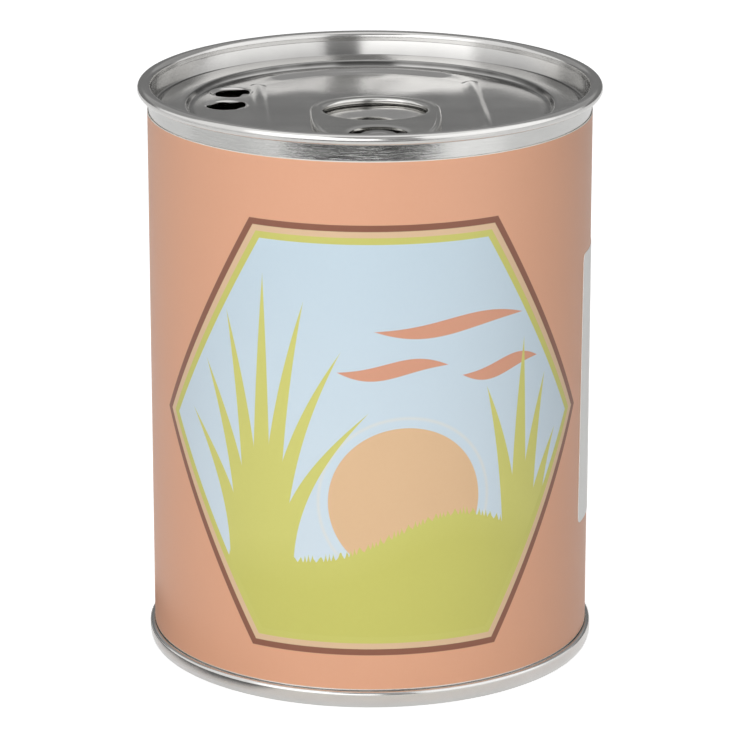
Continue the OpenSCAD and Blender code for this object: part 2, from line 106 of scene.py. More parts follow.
def addNode(tree, kind, settings=None, values=(), output=0):
    # Adds one node: its settings first, then the values or wires of its sockets, by number or by name.
    node = tree.nodes.new(kind)
    for name, value in (settings or {}).items():
        setattr(node, name, value)
    pairs = values.items() if isinstance(values, dict) else enumerate(values)
    for key, value in pairs:
        if isinstance(value, Wire):
            tree.links.new(value.socket, node.inputs[key])
        else:
            node.inputs[key].default_value = value
    return Wire(tree, node.outputs[output])


def rgb(code):
    # A colour written as a web colour, as the linear values that a shader takes.
    parts = np.array([int(code[i:i + 2], 16) for i in (1, 3, 5)]) / 255
    linear = np.where(parts <= 0.04045, parts / 12.92, ((parts + 0.055) / 1.055) ** 2.4)
    return (*linear.tolist(), 1.0)


def mixColour(tree, share, first, second):
    # The first colour where share is 0, the second where it is 1.
    return addNode(tree, "ShaderNodeMix", {"data_type": "RGBA"}, {0: share, 6: first, 7: second}, 2)


def separate(tree, vector):
    # The three coordinates of a vector.
    node = tree.nodes.new("ShaderNodeSeparateXYZ")
    tree.links.new(vector.socket, node.inputs[0])
    return [Wire(tree, out) for out in node.outputs]


def noiseAt(tree, place, scale, detail=2.0, roughness=0.5):
    # Soft noise between 0 and 1 at a place.
    return addNode(tree, "ShaderNodeTexNoise", {}, {"Vector": place, "Scale": scale, "Detail": detail,
                                                    "Roughness": roughness})


def stretched(tree, place, scale, turn=0.0):
    # Coordinates for a pattern, stretched by a factor on each axis and turned about Z.
    return addNode(tree, "ShaderNodeMapping", {}, {"Vector": place, "Rotation": (0, 0, turn), "Scale": scale})


def objectPlace(tree):
    # Object coordinates, in metres.
    return addNode(tree, "ShaderNodeTexCoord", {}, (), 3)


def newMaterial(name, colour, metallic=0.0, roughness=0.5, **others):
    # A material with one Principled shader. Uniform values are set on its own sockets.
    material = bpy.data.materials.new(name)
    material.use_nodes = True
    tree = material.node_tree
    shader = tree.nodes["Principled BSDF"]
    shader.inputs["Base Color"].default_value = colour
    shader.inputs["Metallic"].default_value = metallic
    shader.inputs["Roughness"].default_value = roughness
    for name, value in others.items():
        shader.inputs[name.replace("_", " ")].default_value = value
    return material, tree, shader


def feed(tree, shader, **wires):
    # Links wires to the shader's sockets, named with _ for a space.
    for name, wire in wires.items():
        tree.links.new(wire.socket, shader.inputs[name.replace("_", " ")])


def bumpOf(tree, height, distance):
    # A normal for a relief: its height from 0 to 1 stands for the distance, in millimetres.
    return addNode(tree, "ShaderNodeBump", {}, {"Strength": 1.0, "Distance": distance * mm, "Height": height})


# meshes

def unit(v):
    # Each vector divided by its length.
    return v / np.maximum(np.linalg.norm(v, axis=-1, keepdims=True), 1e-12)


def eased(t):
    # A smooth step: t^2 (3 - 2t), with t held between 0 and 1.
    t = np.clip(t, 0, 1)
    return t ** 2 * (3 - 2 * t)


def bentPath(corners, steps=9):
    # Corners [r, z, bend radius] as a line of points, with an arc of that radius in place of each corner.
    corners = np.array(corners, float)
    points = [corners[:1, :2]]
    for before, corner, after in zip(corners[:-2], corners[1:-1], corners[2:]):
        u, v = unit(corner[:2] - before[:2]), unit(after[:2] - corner[:2])
        turn = math.atan2(u[0] * v[1] - u[1] * v[0], u @ v)
        if corner[2] == 0 or abs(turn) < 1e-6:
            points.append(corner[None, :2])
            continue
        centre = corner[:2] + unit(v - u) * corner[2] / math.cos(turn / 2)
        start = corner[:2] - u * corner[2] * math.tan(abs(turn) / 2) - centre
        a = turn * np.linspace(0, 1, max(3, int(steps * abs(turn) / 1.57) + 2))[:, None]
        points.append(centre + np.hstack([start[0] * np.cos(a) - start[1] * np.sin(a),
                                          start[0] * np.sin(a) + start[1] * np.cos(a)]))
    points.append(corners[-1:, :2])
    return np.vstack(points)


def besidePath(path, distance):
    # The line at a distance to the left of a line of points, mitred at each point.
    ahead = unit(np.diff(path, axis=0))
    u, v = np.vstack([ahead, ahead[-1:]]), np.vstack([ahead[:1], ahead])
    m = unit(u + v)
    reach = distance / np.maximum((m * u).sum(1, keepdims=True), 0.3)
    return path + np.stack([-m[:, 1], m[:, 0]], 1) * reach


def sheetLoop(path, thickness):
    # Closed outline of a sheet: the line on its left side, then back along the line on its right side.
    return np.vstack([besidePath(path, thickness / 2), besidePath(path, -thickness / 2)[::-1]])


def gridFaces(rows, columns, closeRows=False, closeColumns=False, start=0):
    # Quads of a grid of rows times columns of points, row by row.
    i = np.arange(rows if closeRows else rows - 1)[:, None]
    j = np.arange(columns if closeColumns else columns - 1)[None, :]
    nextI, nextJ = (i + 1) % rows, (j + 1) % columns
    row, nextRow = i * columns, nextI * columns
    quads = np.stack([row + j, row + nextJ, nextRow + nextJ, nextRow + j], -1)
    return quads.reshape(-1, 4) + start


def revolve(outline, angles):
    # Turns a closed outline [r, z] about Z: point = (r cos a, r sin a, z), for every angle a.
    r, z = outline[:, 0][:, None], outline[:, 1][:, None]
    points = np.stack([r * np.cos(angles), r * np.sin(angles), z + 0 * angles], -1)
    return points.reshape(-1, 3), gridFaces(len(outline), len(angles), True, True)


def makePiece(name, points, quads, replaced, material, smoothAngle=40, mapPoints=None):
    # Puts the surface into a mesh, closes its poles, turns its faces outwards and gives it its material.
    mesh = bpy.data.meshes.new(name)
    mesh.vertices.add(len(points))
    mesh.vertices.foreach_set("co", (points * mm).astype(np.float32).ravel())
    mesh.loops.add(quads.size)
    mesh.loops.foreach_set("vertex_index", quads.astype(np.int32).ravel())
    mesh.polygons.add(len(quads))
    mesh.polygons.foreach_set("loop_start", np.arange(0, quads.size, 4, dtype=np.int32))
    mesh.update(calc_edges=True)
    if mapPoints is not None:
        layerMap = mesh.uv_layers.new(name="print")
        layerMap.data.foreach_set("uv", mapPoints[quads.ravel()].astype(np.float32).ravel())
    work = bmesh.new()
    work.from_mesh(mesh)
    bmesh.ops.remove_doubles(work, verts=work.verts, dist=0.0002 * mm)
    bmesh.ops.recalc_face_normals(work, faces=work.faces)
    work.to_mesh(mesh)
    work.free()
    mesh.shade_smooth()
    mesh.set_sharp_from_angle(angle=math.radians(smoothAngle))
    mesh.materials.append(material)
    piece = bpy.data.objects.new(name, mesh)
    bpy.context.scene.collection.objects.link(piece)
    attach(piece, "root")
    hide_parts(*replaced)
    print(name, len(mesh.polygons), "faces")


def even(count):
    # Angles of a full turn at even steps, without its end.
    return np.linspace(0, 2 * math.pi, count, endpoint=False)


# tinplate

# the dark grey painted into the tin's grooves as shade
paintedShadeColour = "#2b2a29"


def tinMaterial(name, colour, roughness, grain, along=22, turn=0.0, streaks=0.5, relief=0.012,
                upright=False, paintedShadeRings=()):
    # Rolled tinplate: long fine marks along the rolling direction, and soft cloudy stains of the tin coat.
    # Painted shade lies in rings about the can's axis, each [radius, half width, depth], in millimetres: the
    # colour is darkened where shade falls in grooves and at the feet of steps.
    # Its shade in a ring is depth n^2 (3 - 2n), where n = 1 - |r - radius| / half width.
    material, tree, shader = newMaterial(name, rgb(colour), 1.0, roughness)
    place = objectPlace(tree)
    fineScale = (along, along, grain) if upright else (along, grain, grain)
    broadScale = (9, 9, grain / 9) if upright else (9, grain / 9, 9)
    fine = noiseAt(tree, stretched(tree, place, fineScale, turn), 1.0, 4.0, 0.65)
    broad = noiseAt(tree, stretched(tree, place, broadScale, turn), 1.0, 3.0)
    cloud = noiseAt(tree, place, 140.0, 3.0)
    marks = ((fine - 0.5) * 1.5 + (broad - 0.5) * 1.2) * streaks
    shade = (marks * 0.35 + (cloud - 0.5) * 0.16 + 0.5).held()
    dark = tuple(0.78 * c for c in rgb(colour)[:3]) + (1.0,)
    pale = tuple(min(1.0, 1.16 * c) for c in rgb(colour)[:3]) + (1.0,)
    colourWire = mixColour(tree, shade, dark, pale)
    # painted shade: the colour is darkened towards that dark grey in each ring
    if paintedShadeRings:
        x, y, _ = separate(tree, place)
        away = (x * x + y * y) ** 0.5 * 1000.0
        paintedShade = 0.0
        for radius, half, depth in paintedShadeRings:
            near = (1.0 - abs(away - radius) / half).held()
            paintedShade = near * near * (3.0 - near * 2.0) * depth | paintedShade
        paintedShade = (paintedShade * (0.75 + cloud * 0.5)).held()
        colourWire = mixColour(tree, paintedShade, colourWire, rgb(paintedShadeColour))
    feed(tree, shader, Base_Color=colourWire,
         Roughness=(roughness + marks * 0.12 + (cloud - 0.5) * 0.1).held(),
         Normal=bumpOf(tree, fine * 0.6 + broad * 0.6 + cloud * 0.5, relief))
    return material


bodyTin = tinMaterial("bodyTinplate", "#d9d9d7", 0.16, 2400, along=260, streaks=0.9, relief=0.045,
                      upright=True)
# its rings are painted shade, in the lid's groove near 35.2 mm and at the foot of the panel's step near 30 mm
endTin = tinMaterial("endTinplate", "#dbdad8", 0.14, 1500, turn=0.12, streaks=0.45,
                     paintedShadeRings=((35.25, 0.5, 0.9), (35.2, 1.2, 0.5), (30.15, 0.45, 0.85), (29.7, 1.3, 0.5)))
tabTin = tinMaterial("tabTinplate", "#d6d5d2", 0.17, 1900, turn=1.45, streaks=0.4)
print("tin materials made")

# can body: hook in the bottom seam, wall, flange in the rim, and the weld at the back
body = {"weldWidth": 1.2, "weldHeight": 0.03, "weldLow": 3, "weldHigh": 94, "crowding": 0.9, "flange": 1}
bodyPath = bentPath([
    [bodyHookR, can["seamHeight"] - 3.5 * can["tin"], 0],
    [bodyHookR, halfTin + layer, layer - 0.001],
    [wallR, halfTin + layer, layer - 0.001],
    *[[wallR, height, 0] for height in (30, 60, 89, 91, 92.5)],
    [wallR, flangeTop, rimBend - layer],
    [wallR + body["flange"], flangeTop, 1.2 * can["tin"]],
    [wallR + body["flange"], rimLow + 0.45 * can["rimHeight"], 0]])


def weldAngles():
    # Turn angles that crowd at the weld, which is a quarter turn round: t - crowding sin(q) cos(q / 2)^4,
    # where q is t less that quarter turn.
    t = even(can["turns"])
    q = t - math.pi / 2
    return t - body["crowding"] * np.sin(q) * np.cos(q / 2) ** 4


def raiseWeld(points):
    # Moves the wall's outer points out at the weld: by its height, fading beside it, with a ripple along it.
    x, y, z = points.T
    outward = np.hypot(x, y)
    beside = np.abs(x) / (body["weldWidth"] / 2)
    onWeld = (y > 0) & (outward > wallR) & (z > body["weldLow"]) & (z < body["weldHigh"])
    swell = np.where(onWeld, body["weldHeight"] * np.clip(1.5 - beside, 0, 1), 0)
    swell *= 0.75 + 0.25 * np.sin(z * 9)
    return np.column_stack([points[:, :2] * (1 + swell / outward)[:, None], z])


bodyPoints, bodyFaces = revolve(sheetLoop(bodyPath, can["tin"]), weldAngles())
bodyPoints = raiseWeld(bodyPoints)
makePiece("canBody", bodyPoints, bodyFaces, ["can_body"], bodyTin)

# bottom end: panel with two pressed rings, groove, wall and the fold of the double seam
bottom = {
    "rise": 2.9, "grooveRise": 0.9, "grooveFoot": 1.2, "grooveStart": 0.8, "grooveEnd": 0.5,
    "grooveBend": 0.4, "ringStart": 13, "ringWidth": 6, "ringPitch": 11, "ringRise": 0.6, "footBend": 0.42,
    "seamSwell": 0.28, "swellLow": 0.95, "swellLowBend": 0.6, "swellTopBend": 0.45,
}
grooveR = can["wallRadius"] - 1.3
floorZ = bottom["rise"] + halfTin
grooveTop = floorZ + bottom["grooveRise"]


def pressedRing(start):
    # Corners of a raised ring: up a slope as wide as it is high, along, and down again.
    rise, end = bottom["ringRise"], start + bottom["ringWidth"]
    return [[start, floorZ, rise], [start + rise, floorZ + rise, rise],
            [end, floorZ + rise, rise], [end + rise, floorZ, rise]]


endPath = bentPath(
    [[0, floorZ, 0], [6, floorZ, 0]] + pressedRing(bottom["ringStart"])
    + pressedRing(bottom["ringStart"] + bottom["ringPitch"])
    + [[grooveR - bottom["grooveFoot"], floorZ, bottom["grooveBend"]],
       [grooveR - bottom["grooveStart"], grooveTop, bottom["grooveBend"]],
       [grooveR + bottom["grooveEnd"], grooveTop, bottom["grooveBend"]],
       [chuckR, grooveTop - 2, 1],
       [chuckR, halfTin, bottom["footBend"] - halfTin],
       [seamR, halfTin, bottom["footBend"] - halfTin],
       [seamR + bottom["seamSwell"], bottom["swellLow"], bottom["swellLowBend"]],
       [seamR + bottom["seamSwell"], can["seamHeight"] - halfTin, bottom["swellTopBend"]],
       [hookR, can["seamHeight"] - halfTin, layer - 0.001],
       [hookR, 3.6 * can["tin"], 0]])
endPoints, endFaces = revolve(sheetLoop(endPath, can["tin"]), even(can["turns"]))
makePiece("bottomEnd", endPoints, endFaces, ["bottom_end"], endTin)

# lid: rim, groove, land, panel with beads, finger well, vents and trough, and the rivet button
lid = {
    "turn": 3.5, "turns": 360, "landDrop": 3.6, "panelDrop": 1.0, "grooveWidth": 1.6, "grooveDrop": 0.35,
    "panelRadius": 29.9, "tearIn": 0.8, "tearDepth": 0.08, "hook": 0.5, "hookGap": 0.14,
    "beadX": 17.9, "beadLength": 35.6, "beadHeight": 0.4, "beadHalf": 1.15, "arcRadius": 27, "arcAngle": 60,
    "wellY": -5.9, "wellRadius": 8.4, "wellDepth": 1.4, "wellFloor": 0.45, "wellSlope": 0.62,
    "vents": [(-23.53, 2.93), (-22.47, 12.07)], "ventPhases": [0.7, -0.4], "ventUneven": 0.13,
    "ventRadius": 2.95, "ventLip": 0.35, "ventLipHalf": 0.75, "ventZone": 4.2, "ventInner": 1.3,
    "rivetY": -22.5, "shankRadius": 1.9, "headRadius": 3.0, "headHeight": 0.5, "headHollow": 0.15,
    "dentHeight": 0.4, "dentFoot": 1.2, "dentEdge": 1.6,
    "troughDepth": 0.3, "troughY": 6, "troughLength": 15, "troughHalf": 21, "troughSide": 6, "troughRim": 4,
    "waveHeight": 0.05, "rippleHeight": 0.02, "waveRim": 3,
    # the panel's grid: its spacing, and finer zones [from, to, spacing] at the beads, vents, well and rivet
    "gridStep": 0.64,
    "gridX": [[-19.7, -16.1, 0.22], [16.1, 19.7, 0.22], [-28, -19.3, 0.26], [-4, 4, 0.45]],
    "gridY": [[-2, 17, 0.26], [22, 28.9, 0.26], [-26, -19, 0.45]],
}
landZ = can["height"] - lid["landDrop"] - halfTin
panelZ = landZ - lid["panelDrop"]
panelTop = panelZ + halfTin
tearR = lid["panelRadius"] - lid["tearIn"]
ringPath = bentPath([
    [tearR, panelZ, 0],
    [lid["panelRadius"], panelZ, 0.4],
    [lid["panelRadius"] + 0.5, landZ, 0.4],
    [grooveR - lid["grooveWidth"] / 2, landZ, 0.3],
    [grooveR - lid["grooveWidth"] / 4, landZ - lid["grooveDrop"], 0.3],
    [grooveR + lid["grooveWidth"] / 4, landZ - lid["grooveDrop"], 0.4],
    [chuckR, rimLow + 0.2, 1.2],
    [chuckR, rimTop, rimBend],
    [rimR, rimTop, rimBend],
    [rimR, rimLow, rimBend],
    [wallR + lid["hook"], rimLow, 1.2 * can["tin"]],
    [wallR + lid["hook"], flangeTop - halfTin - 2 * can["foldGap"] - lid["hookGap"], 0]])
ringOutline = sheetLoop(ringPath, can["tin"])
ringOutline[0, 1] -= lid["tearDepth"]       # the tear line's bottom
ringPoints, ringFaces = revolve(ringOutline, even(lid["turns"]))


def bump(distance, half, height):
    # A pressed ridge: height times (1 - (d/half)^2)^2.
    return height * np.clip(1 - (distance / half) ** 2, 0, 1) ** 2


def panelHeight(x, y):
    # Height of the panel over its plain level: beads, less the well, the vents' lips and the trough behind
    # the tab, plus slow waves. A bead is a ridge by the distance from its middle line, and the well and the
    # trough are smooth steps.
    half = lid["beadHalf"] * 1.35
    along = np.clip(y, -lid["beadLength"] / 2 + half, lid["beadLength"] / 2 - half)
    h = bump(np.hypot(np.abs(x) - lid["beadX"], y - along), half, lid["beadHeight"])
    arc = np.clip(np.arctan2(y, x), *(math.radians(90 + side * lid["arcAngle"] / 2) for side in (-1, 1)))
    besideArc = np.hypot(x - lid["arcRadius"] * np.cos(arc), y - lid["arcRadius"] * np.sin(arc))
    h = np.maximum(h, bump(besideArc, half, lid["beadHeight"]))
    out = np.hypot(x, y - lid["wellY"]) / lid["wellRadius"]
    h -= lid["wellDepth"] * (1 - eased((out - lid["wellFloor"]) / lid["wellSlope"]))
    for ventX, ventY in lid["vents"]:
        away = np.hypot(x - ventX, y - ventY) - lid["ventRadius"]
        h -= bump(away, lid["ventLipHalf"], lid["ventLip"])
    trough = np.clip((y - lid["troughY"]) / lid["troughLength"], 0, 1)
    trough *= np.clip((28.9 - np.hypot(x, y)) / lid["troughRim"], 0, 1)
    trough *= np.clip((lid["troughHalf"] - np.abs(x)) / lid["troughSide"], 0, 1)
    h -= lid["troughDepth"] * eased(trough)
    edge = np.clip((tearR - np.hypot(x, y)) / lid["waveRim"], 0, 1)
    wave = lid["waveHeight"] * np.sin(0.21 * x + 0.6) * np.sin(0.26 * y + 1.1)
    ripple = lid["rippleHeight"] * np.sin(0.55 * x - 0.3 * y)
    return h + edge * (wave + ripple)


def spread(low, high, zones, coarse):
    # Positions from low to high whose spacing is coarse, or finer inside the zones [from, to, spacing].
    t = np.linspace(low, high, 4001)
    density = np.full(t.shape, 1 / coarse)
    for start, end, spacing in zones:
        density = np.where((t > start) & (t < end), np.maximum(density, 1 / spacing), density)
    total = np.concatenate([[0], np.cumsum((density[1:] + density[:-1]) / 2 * np.diff(t))])
    return np.interp(np.linspace(0, total[-1], int(total[-1]) + 1), total, t)


def openHole(points, centre, zone, radius, inner, uneven=0.0, phase=0.0):
    # Opens a hole in a sheet: the points within zone move outwards, so that the inner ones lie on its edge.
    # The edge's radius at the angle a is radius (1 + uneven (sin(2a + phase) + 0.6 sin(3a - phase))).
    # Gives the points, and which of them lie inside the hole.
    offset = points - centre
    away = np.maximum(np.linalg.norm(offset, axis=1), 1e-9)
    turn = np.arctan2(offset[:, 1], offset[:, 0])
    edge = radius * (1 + uneven * (np.sin(2 * turn + phase) + 0.6 * np.sin(3 * turn - phase)))
    moved = edge + (zone - edge) * np.clip((away - inner) / (zone - inner), 0, 1)
    opened = centre + offset / away[:, None] * moved[:, None]
    return np.where((away < zone)[:, None], opened, points), away < inner


def closedSlab(flat, faces, topZ, thickness):
    # A slab over a flat grid: its top, its underside a thickness below, and a wall along every open edge.
    # An open edge is one that only one face has.
    edges = np.vstack([faces[:, [k, (k + 1) % 4]] for k in range(4)])
    code = np.sort(edges, 1) @ np.array([len(flat), 1])
    _, first, count = np.unique(code, return_index=True, return_counts=True)
    rim = edges[first[count == 1]]
    top = np.column_stack([flat, topZ])
    under = np.column_stack([flat, topZ - thickness])
    n = len(flat)
    walls = np.column_stack([rim[:, 1], rim[:, 0], rim[:, 0] + n, rim[:, 1] + n])
    return np.vstack([top, under]), np.vstack([faces, faces[:, ::-1] + n, walls])


def trimmed(points, quads):
    # Drops the points that no face uses.
    used = np.unique(quads)
    number = np.zeros(len(points), int)
    number[used] = np.arange(len(used))
    return points[used], number[quads]


def panelSurface():
    # A grid of x and y lines, finer at the beads and vents. Its outer points lie on the tear line's circle.
    xs = spread(-tearR, tearR, lid["gridX"], lid["gridStep"])
    ys = spread(-tearR, tearR, lid["gridY"], lid["gridStep"])
    x, y = np.meshgrid(xs, ys)
    flat = np.column_stack([x.ravel(), y.ravel()])
    faces = gridFaces(len(ys), len(xs))
    away = np.linalg.norm(flat, axis=1)
    inside = (away < tearR - 0.35)
    keep = inside[faces].any(1)
    snap = ~inside & np.isin(np.arange(len(flat)), np.unique(faces[keep]))
    flat[snap] *= (tearR / away[snap])[:, None]
    for vent, phase in zip(lid["vents"], lid["ventPhases"]):
        flat, lost = openHole(flat, np.array(vent), lid["ventZone"], lid["ventRadius"], lid["ventInner"],
                              lid["ventUneven"], phase)
        keep &= ~lost[faces].all(1)
    flat, faces = trimmed(flat, faces[keep])
    return closedSlab(flat, faces, panelTop + panelHeight(flat[:, 0], flat[:, 1]), can["tin"])


tongueLow = panelTop + can["tabGap"]
headLow = tongueLow + can["tabSheet"] + can["tabGap"]


def rivetSurface():
    # The rivet button: a hollow shank and a closed head with a shallow dent, turned about its own axis.
    shank, head, foot = lid["shankRadius"], lid["headRadius"], panelZ - halfTin
    hollow, top, dent = (headLow + lid[height] for height in ("headHollow", "headHeight", "dentHeight"))
    outline = bentPath([[0, hollow, 0], [shank - can["tin"], hollow, 0.1], [shank - can["tin"], foot, 0],
                        [shank, foot, 0], [shank, headLow, 0.08], [head, headLow, 0.15], [head, top, 0.25],
                        [lid["dentEdge"], top, 0.4], [lid["dentFoot"], dent, 0.4], [0, dent, 0]])
    points, faces = revolve(outline, even(64))
    return points + np.array([0, lid["rivetY"], 0]), faces


def joined(*parts):
    # Several surfaces as one list of points and one of faces.
    starts = np.cumsum([0] + [len(points) for points, _ in parts[:-1]])
    faces = [quads + start for (_, quads), start in zip(parts, starts)]
    return np.vstack([points for points, _ in parts]), np.vstack(faces)


def turnedBy(points, degrees, centre=(0, 0)):
    # Points turned about an upright line through the centre.
    a = math.radians(degrees)
    x, y = points[:, 0] - centre[0], points[:, 1] - centre[1]
    return np.column_stack([centre[0] + x * math.cos(a) - y * math.sin(a),
                            centre[1] + x * math.sin(a) + y * math.cos(a), points[:, 2]])


lidPoints, lidFaces = joined((ringPoints, ringFaces), panelSurface(), rivetSurface())
makePiece("lidEnd", turnedBy(lidPoints, lid["turn"]), lidFaces, ["lid_end"], endTin)

# pull tab: two curled edges, the sheet between them and the tongue under the rivet's head
tab = {
    "turn": -1.8, "halfWidth": 10.75, "halfLength": 9.8, "reach": 16.6, "nose": 6.0, "nosePower": 2.6,
    "height": 1.2, "sheetDrop": 0.12, "sideWidth": 2.25, "endWidth": 2.4, "stations": 192, "columns": 30,
    "tongueRadius": 4.0, "tongueHole": 2.1, "neck": 1.45,
    "slotWidth": 0.8, "slotZone": 5.35, "slotInner": 3.0, "slotFall": 0.12, "slotFallWidth": 1.2,
}
tabLength = tab["reach"] + tab["nose"]


def tabOutline(inset):
    # Round the ring's centre, for angles a: behind it the ellipse (w cos a, l sin a), and towards the nose
    # the blunter curve whose cos a and sin a keep their signs and are raised to 2 / nosePower.
    a = even(tab["stations"])
    c, s = np.cos(a), np.sin(a)
    power = 2 / tab["nosePower"]
    behind = np.column_stack([(tab["halfWidth"] - inset) * c, (tab["halfLength"] - inset) * s])
    ahead = np.column_stack([(tab["halfWidth"] - inset) * np.sign(c) * np.abs(c) ** power,
                             (tabLength - inset) * np.sign(s) * np.abs(s) ** power])
    return np.where((s >= 0)[:, None], behind, ahead)


def holeOutline(outset):
    # The ring's opening: the ellipse (w cos a, l sin a).
    a = even(tab["stations"])
    return np.column_stack([(tab["halfWidth"] - tab["sideWidth"] + outset) * np.cos(a),
                            (tab["halfLength"] - tab["endWidth"] + outset) * np.sin(a)])


def curl(outline, radius, middleZ, sides=18):
    # A closed ring of round section carried along an outline: at the angle k of the section, a point lies
    # radius cos k outwards from the outline and radius sin k over the middle height.
    ahead = unit(np.roll(outline, -1, 0) - np.roll(outline, 1, 0))
    out = np.column_stack([ahead[:, 1], -ahead[:, 0]])
    k = even(sides)
    flat = outline[:, None] + out[:, None] * (radius * np.cos(k))[None, :, None]
    z = middleZ + radius * np.sin(k) + 0 * outline[:, :1]
    return np.dstack([flat, z]).reshape(-1, 3), gridFaces(len(outline), sides, True, True)


def tabPlate(outer, inner, topZ):
    # The sheet between the two curls, with a round slot about the tongue.
    # Its grid runs straight from the inner to the outer outline, and it falls a little towards the slot.
    share = np.linspace(0, 1, tab["columns"])[None, :, None]
    flat = (inner[:, None] * (1 - share) + outer[:, None] * share).reshape(-1, 2)
    faces = gridFaces(len(outer), tab["columns"], True, False)
    slotR = tab["tongueRadius"] + tab["slotWidth"]
    flat, lost = openHole(flat, np.array([0, -tab["reach"]]), tab["slotZone"], slotR, tab["slotInner"])
    flat, faces = trimmed(flat, faces[~lost[faces].all(1)])
    away = np.hypot(flat[:, 0], flat[:, 1] + tab["reach"]) - slotR
    fall = np.clip(away / tab["slotFallWidth"], 0, 1)
    return closedSlab(flat, faces, topZ - tab["slotFall"] * (1 - fall) ** 2, can["tabSheet"])


def tonguePlate():
    # The tongue: a round plate under the rivet's head, with a neck to the nose. Its radius at the angle a is
    # tongueRadius + neck cos(a + 90 degrees)^6 where that cosine is positive.
    a, share = np.meshgrid(even(72), np.linspace(0, 1, 8), indexing="ij")
    reach = tab["tongueRadius"] + tab["neck"] * np.clip(np.cos(a + math.pi / 2), 0, 1) ** 6
    r = tab["tongueHole"] + (reach - tab["tongueHole"]) * share
    flat = np.column_stack([(r * np.cos(a)).ravel(), (r * np.sin(a)).ravel()])
    flat[:, 1] -= tab["reach"]
    topZ = np.full(len(flat), tongueLow + can["tabSheet"])
    return closedSlab(flat, gridFaces(*a.shape, True, False), topZ, can["tabSheet"])


curlR = tab["height"] / 2
holeCurlR = 0.42 * tab["height"]
tabPoints, tabFaces = joined(
    curl(tabOutline(curlR), curlR, tongueLow + curlR),
    curl(holeOutline(holeCurlR), holeCurlR, tongueLow + curlR),
    tabPlate(tabOutline(curlR), holeOutline(holeCurlR), tongueLow + tab["height"] - tab["sheetDrop"]),
    tonguePlate())
tabPoints[:, 1] += tab["reach"] + lid["rivetY"]
tabPoints = turnedBy(turnedBy(tabPoints, tab["turn"], (0, lid["rivetY"])), lid["turn"])
makePiece("pullTab", tabPoints, tabFaces, ["pull_tab"], tabTin)
print("tin pieces made")

# paper label, with its print as fields of colour
label = {
    "paper": 0.12, "innerRadius": 36.53, "low": 2.96, "high": 91.4, "lap": 8.0, "rampStart": 1.6, "ramp": 1.4,
    "lapSpacing": 0.4, "rampSpacing": 0.3, "spacing": 0.75, "rows": 60, "rowEdge": 0.25,
    "printS": 0.7, "printZ": 45.0, "border": 36.05, "line": 1.05, "line2": 1.0, "line3": 1.1,
    "sunU": 5.0, "sunV": -10.0, "sunRadius": 12.5, "cloudHalf": 1.3, "leafHalf": 1.7, "leafFoot": -22.0,
    "paperColour": "#e7ac8b", "brown": "#8d5a46", "tan": "#e3c29d", "lime": "#d0ce6e",
    "sunColour": "#e6c096", "cloudColour": "#dd9f82", "core": "#f3efe8",
}
labelR = label["innerRadius"] + label["paper"]
leaves = [[-22, 33, -8], [-20.5, 42, -5], [-19, 49, 0.5], [-17.5, 45, 6], [-16.5, 37, 11], [-15, 27, 14],
          [-23.5, 24, -10], [24, 30, -5], [25.5, 37, 1], [27, 30, 4.5], [28.5, 20, 6]]    # foot, height, lean
clouds = [[13, 19, 13], [3, 12.2, 9], [22, 11, 7.5]]                                      # u, v, half length


